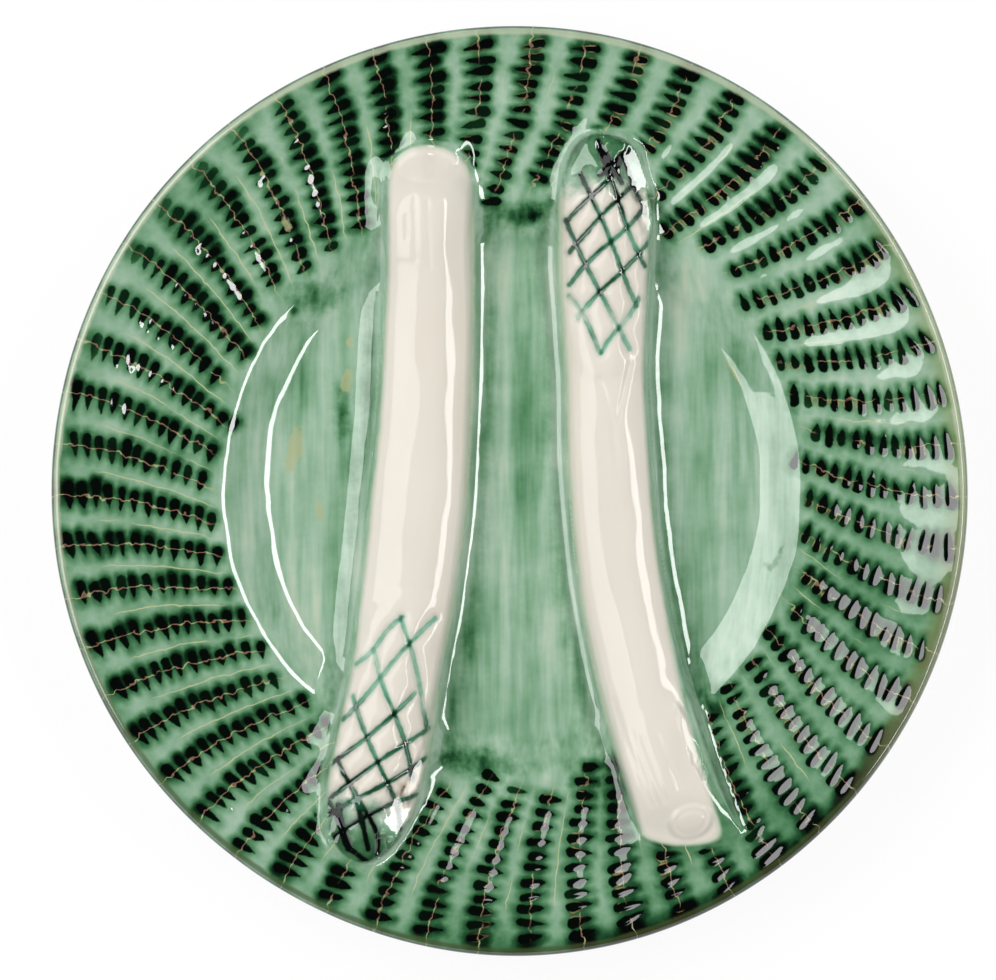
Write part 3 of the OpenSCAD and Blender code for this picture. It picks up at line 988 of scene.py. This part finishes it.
class GlazeGraph(Graph):
    """A graph with the fields and clouds that several layers of the glaze read."""

    def __init__(self, name):
        super().__init__(name)
        for key in ("ring", "top", "notch", "ink", "flute_c", "flute_s", "cream", "share"):
            setattr(self, key, self.field(key))
        self.x, self.y = self.axis("X"), self.axis("Y")
        self.cloud = self.noise(30, detail=3, shift=5)
        self.small_cloud = self.noise(7, detail=3, shift=15, rough=0.6)
        self.on_left = self.step(20, -100, self.x)
        self.on_rim = self.times(self.step(76, 86, self.ring), self.top)
        self.to_lower_right = self.times(self.math("SUBTRACT", self.x, self.y), 0.707)
        self.to_lip = self.math("SUBTRACT", PLATE_R, self.ring)
        # One on a column's upper side, nothing on its lower side
        self.upper = self.step(-0.5, 0.5, self.times(self.flute_s, self.x, 1 / PLATE_R))


def plain_thickness_and_shade(g):
    """Glaze on plain ground: brushed up and down in the well, cloudy and in bands on the rim, with painted
    shade.
    """
    broad_streak = g.noise(8, 0.34, stretch=(1, 0.1, 1), detail=3, shift=3, rough=0.65)
    fine_streak = g.noise(2, 0.08, stretch=(1, 0.07, 1), detail=3, shift=9)
    by_spear = g.times(g.step(-9, -4, g.cream), g.step(-1.5, -4, g.cream))
    by_spear = g.times(by_spear, g.add(0.12, g.times(g.small_cloud, 0.12)))
    clouds = g.add(g.times(g.cloud, 0.16), g.times(g.small_cloud, 0.08))
    brushed = g.add(WELL_THICK, broad_streak, fine_streak, clouds, by_spear)
    column = g.times(g.step(-0.5, 0.9, g.flute_c), g.add(0.16, g.noise(16, 0.2, shift=19)))
    # Painted shade: the rim darker on the left and toward the lower right
    painted_shade = g.add(g.times(g.on_left, 0.09), g.step(50, 105, g.to_lower_right, 0.2))
    cloudy = g.add(RIM_THICK, g.times(g.cloud, 0.18), g.times(g.small_cloud, 0.16), column, painted_shade)
    marks = g.step(-0.2, 0.9, g.add(g.field("dark"), g.times(g.small_cloud, 0.4)), 0.42)
    return g.add(g.blend(g.on_rim, brushed, cloudy), marks)


def with_pools(g, thick):
    """Dark pools in the notches, each with a soft halo that runs further on its upper side."""
    ragged = g.add(g.notch, g.noise(2.2, 0.36, shift=21))
    pool = g.times(g.step(0.3, -0.25, ragged), g.ink)
    around = g.add(g.notch, g.noise(5, 0.9, shift=27), g.noise(1.6, 0.3, shift=29))
    at_top = g.step(50, 110, g.y, 0.22)
    strength = g.add(
        0.5, g.times(g.upper, 0.42), g.times(g.cloud, 0.4), g.times(g.on_left, 0.14), at_top,
    )
    halo = g.math("MINIMUM", g.times(g.step(2.9, -0.7, around), g.ink, strength), 1.0)
    return g.blend(pool, g.blend(halo, thick, HALO_THICK), POOL_THICK)


def with_lip(g, thick):
    """Glaze gathered inside the lip and along its edge, with painted shade that darkens it most at the
    lower right.
    """
    # Glaze gathered inside the lip, and painted shade that adds to it toward the lower right
    lip_glaze_and_shade = g.times(g.step(7, 2, g.to_lip), g.add(0.1, g.step(80, 118, g.to_lower_right, 0.3)))
    return g.add(thick, lip_glaze_and_shade, g.step(0.9, 0.3, g.to_lip, 0.4))


def with_line_reflections(g, green):
    """Thin pale lines along the columns and their ridges: painted reflections."""
    across = g.times(g.flute_s, g.ring, 1 / COLUMN_COUNT)
    across = g.add(across, g.noise(8, 0.5, shift=33), g.noise(3.0, 0.4, shift=35))
    column_gap = g.math("ABSOLUTE", g.add(across, g.noise(2.2, 0.85, detail=1, shift=37)))
    seen = g.step(-0.2, 0.1, g.add(g.noise(5, detail=1, shift=41), g.times(g.on_left, 0.5)))
    on_column = g.times(g.step(0.24, 0.1, column_gap), g.step(0, 0.5, g.flute_c), seen)
    ridge_gap = g.math("ABSOLUTE", across)
    kept = g.step(-0.1, 0.25, g.add(g.noise(22, shift=47), g.times(g.on_left, 0.6), -0.15))
    reach = g.times(g.step(79, 83, g.ring), g.step(114, 110, g.ring))
    on_ridge = g.times(g.step(0.24, 0.1, ridge_gap), g.step(0, -0.5, g.flute_c), kept, reach)
    # Painted reflections: pale on the columns, pinkish brown over the notches, paler on the ridges
    colour = g.mix(g.step(0.5, -0.2, g.notch), COLUMN_REFLECTION, REFLECTION_IN_NOTCH)
    colour = g.mix(g.step(0.2, -0.4, g.flute_c), colour, RIDGE_REFLECTION)
    return g.mix(g.times(g.largest(on_column, on_ridge), g.on_rim, 0.85), green, colour)


def with_marks(g, green):
    """Tan curls below some notches, and pale tan marks."""
    edge = g.math("ABSOLUTE", g.add(g.notch, g.noise(2.6, 0.35, shift=81), -0.1))
    some = g.times(g.step(0.05, 0.3, g.noise(9, detail=1, shift=83)), g.step(0.7, 0.3, g.upper))
    here = g.times(g.step(0.1, 0.6, g.flute_c), g.on_rim, g.step(-40, 40, g.x))
    green = g.mix(g.times(g.step(0.26, 0.1, edge), some, here, 0.75), green, CURL_TAN)
    # Pale tan marks at the listed places, ragged at their edges
    ragged = g.add(g.times(g.small_cloud, 0.4), g.noise(1.3, 0.35, detail=3, shift=43))
    pale_tone = g.step(-0.1, 0.35, g.add(g.field("pale_tone"), ragged), 0.65)
    return g.mix(pale_tone, green, PALE_MARK_TAN)


def with_lip_band(g, green):
    """The band inside the lip: cream at the top, olive at the bottom."""
    ragged = g.add(g.to_lip, g.times(g.small_cloud, 0.4))
    band = g.times(g.step(0.5, 1.1, g.to_lip), g.step(2.8, 1.8, ragged), g.top, 0.8)
    return g.mix(band, green, g.mix(g.step(20, -90, g.y), PALE_BAND, DARK_BAND))


def spear_glaze(g):
    """Colour of the spears, where they are cream, and how far their gloss is the cream's."""
    seep = g.add(g.cream, g.noise(14, 0.35, shift=51), g.noise(3, 0.12, shift=53))
    creamy = g.step(-0.5, 0.7, seep)
    mottle = g.step(-1, 1, g.noise(16, stretch=(1, 0.35, 1), shift=57))
    body = g.mix(g.step(0.0, 1.8, seep), GREENISH_CREAM, g.mix(mottle, DEEP_CREAM, LIGHT_CREAM))

    # Green over the tip
    green_tip = g.step(0.89, 0.98, g.add(g.share, g.noise(5, 0.025, detail=3, shift=61)))
    edge_thick = g.times(g.step(3.0, 0.0, seep), green_tip, 0.08)
    tip_thick = g.add(g.times(green_tip, 0.62), g.times(g.small_cloud, 0.18), edge_thick)
    body = g.mix(g.step(0.0, 0.5, green_tip), body, g.ramp(tip_thick, GLAZE_STOPS))

    # Green in the scored lines, thicker toward the tip and where lines meet
    score = g.add(g.field("score"), g.noise(2.0, 0.22, shift=63))
    pooled = g.step(1.1, 2.0, g.field("meeting"), 0.3)
    thick = g.add(
        0.22, g.step(0.68, 0.97, g.share, 0.54), g.noise(9, 0.34, shift=65), pooled,
        g.step(0.92, 0.96, g.share, 0.3),
    )
    solid = g.step(-0.9, 0.1, g.add(g.noise(7, shift=67), g.step(0.75, 0.9, g.share), pooled))
    core = g.times(g.step(1.15, 0.3, score), g.add(0.4, g.times(solid, 0.6)))
    line = g.largest(g.step(2.0, 0.4, score, 0.34), core)
    body = g.mix(g.times(line, creamy), body, g.ramp(thick, SCORE_STOPS))

    dark_line = g.times(line, g.step(0.5, 0.8, thick))
    green_share = g.largest(g.step(0.0, 0.3, green_tip), dark_line)
    return body, creamy, g.times(creamy, g.rest(green_share))


def glaze(name):
    """Green glaze that pools dark in the cuts, with cream glaze on the spears."""
    g = GlazeGraph(name)
    thick = with_lip(g, with_pools(g, plain_thickness_and_shade(g)))
    olive = g.times(g.step(8, 3, g.to_lip), g.step(85, 115, g.x), g.step(0.2, 1.2, g.notch), 0.5)
    green = g.mix(olive, g.ramp(thick, GLAZE_STOPS), OLIVE)
    green = with_lip_band(g, with_marks(g, with_line_reflections(g, green)))
    body, creamy, plain_cream = spear_glaze(g)
    coat = {"Coat Weight": g.rest(plain_cream), "Coat Roughness": 0.04, "Coat IOR": 1.6}
    height = g.add(g.noise(9, 0.8, detail=1, shift=71), g.noise(3, 0.08, detail=1, shift=73))
    roughness = g.add(0.04, g.step(0.4, 1.0, g.noise(20, shift=77), 0.02))
    return g.finish(g.mix(creamy, green, body), roughness, height, 0.04 * MM, 1.4, coat)


def clay(name):
    """Bare fired clay below, with glaze run down over its sides."""
    g = Graph(name)
    edge = g.add(g.axis("Z"), g.noise(9, 0.35, detail=3), g.noise(2, 0.12, shift=4))
    glazed = g.step(0.9, 1.25, edge)
    pale_tone = g.mix(g.step(-1, 1, g.noise(7, detail=3, shift=3)), FIRED_CLAY, LIGHT_CLAY)
    specks = g.step(0.9, 1.3, g.noise(0.8, detail=4, shift=7, rough=0.7), 0.5)
    pale_tone = g.mix(specks, pale_tone, CLAY_SPECK)
    green = g.ramp(g.add(0.45, g.noise(6, 0.15, shift=9)), GLAZE_STOPS)
    edge_line = g.times(g.step(0.7, 1.0, edge), g.step(1.6, 1.2, edge), 0.5)
    colour = g.mix(edge_line, g.mix(glazed, pale_tone, green), RUN_EDGE)
    grain = g.add(g.noise(0.7, detail=4, rough=0.7), g.noise(3, stretch=(1, 1, 4)))
    roughness = g.add(0.85, g.times(glazed, -0.78))
    return g.finish(colour, roughness, g.times(g.rest(glazed), grain), 0.06 * MM, 1.5, {})


def floor_material():
    """Pale floor that shows white to the camera and in the gloss, and still takes the shadow."""
    g = Graph("pale_floor")
    rays = ("Is Camera Ray", "Is Glossy Ray", "Is Transmission Ray")
    seen = g.largest(*(g.node("LightPath", {}, ray) for ray in rays))
    matte = g.node("BsdfDiffuse", {"Color": (FLOOR_TONE, FLOOR_TONE, FLOOR_TONE, 1)})
    white = g.node("Emission", {"Strength": WHITE_STRENGTH})
    return g.end(g.node("MixShader", {0: g.times(seen, WHITE_SHARE), 1: matte, 2: white}))


# Studio

SENSOR_MM = 36
CAMERA_Z = 1.5
# Where the camera stands over the plate, in millimetres, and the image's width in metres
CAMERA_AT = (-3.24, -0.54)
IMAGE_W = 0.2692


def build_floor():
    """A round floor that sweeps up into a low backdrop."""
    count = 96
    rings = ((0.6, 0), (1.2, 0), (2.4, 0), (4.0, 0), (4.5, 0.13), (4.87, 0.5), (5.0, 1.0), (5.0, 2.8))
    points = np.concatenate([[(0, 0, 0)]] + [ring_points(r, z, count) for r, z in rings])
    faces = ring_faces([1] + [count] * len(rings))
    add_mesh("floor", points, faces, floor_material())


def add_panel(name, azimuth, zenith, up, across, radiance, shows=True):
    """A soft panel one metre from the plate, facing it; up is its length in the line of height."""
    data = bpy.data.lights.new(name, "AREA")
    data.shape = "RECTANGLE"
    data.size = up
    data.size_y = across
    data.energy = radiance * math.pi * up * across
    panel = add_object(name, data)
    a, t = math.radians(azimuth), math.radians(zenith)
    panel.location = Vector((math.sin(t) * math.cos(a), math.sin(t) * math.sin(a), math.cos(t)))
    panel.rotation_euler = (0, t, a)
    panel.visible_camera = False
    panel.visible_glossy = shows


def build_studio():
    """Two panels that the glaze mirrors, four soft fills that it doesn't, and a dim world."""
    add_panel("left_panel", 166, 38.5, 0.555, 1.0, 3.4)
    add_panel("right_strip", 8, 37, 0.12, 1.15, 9.0)
    for azimuth in (45, 135, 225, 315):
        add_panel(f"fill_{azimuth}", azimuth, 58, 0.8, 0.8, 0.61, shows=False)
    world = bpy.data.worlds.new("studio")
    bpy.context.scene.world = world
    world.use_nodes = True
    background = world.node_tree.nodes["Background"]
    background.inputs["Color"].default_value = (0.97, 0.99, 1.0, 1)
    background.inputs["Strength"].default_value = 0.02


def build_camera():
    """Straight down, with the image's width measured at the height of the lip."""
    data = bpy.data.cameras.new("camera")
    data.sensor_width = SENSOR_MM
    camera = add_object("camera", data)
    data.lens = SENSOR_MM * (CAMERA_Z - (FLOOR_Z + LIP_RISE) * MM) / IMAGE_W
    camera.location = (CAMERA_AT[0] * MM, CAMERA_AT[1] * MM, CAMERA_Z)
    bpy.context.scene.camera = camera


NOTCHES = make_notches()
ALL_DROPS = make_drops()
SET_FLAT_PLACES = set_flat_places()
build_plate(glaze("green_glaze"))
cream_glaze = glaze("cream_glaze")
build_spear(LEFT_SPEAR, cream_glaze)
build_spear(RIGHT_SPEAR, cream_glaze)
build_foot(clay("bare_clay"))
build_floor()
build_studio()
build_camera()
bpy.context.scene.view_settings.view_transform = "Standard"
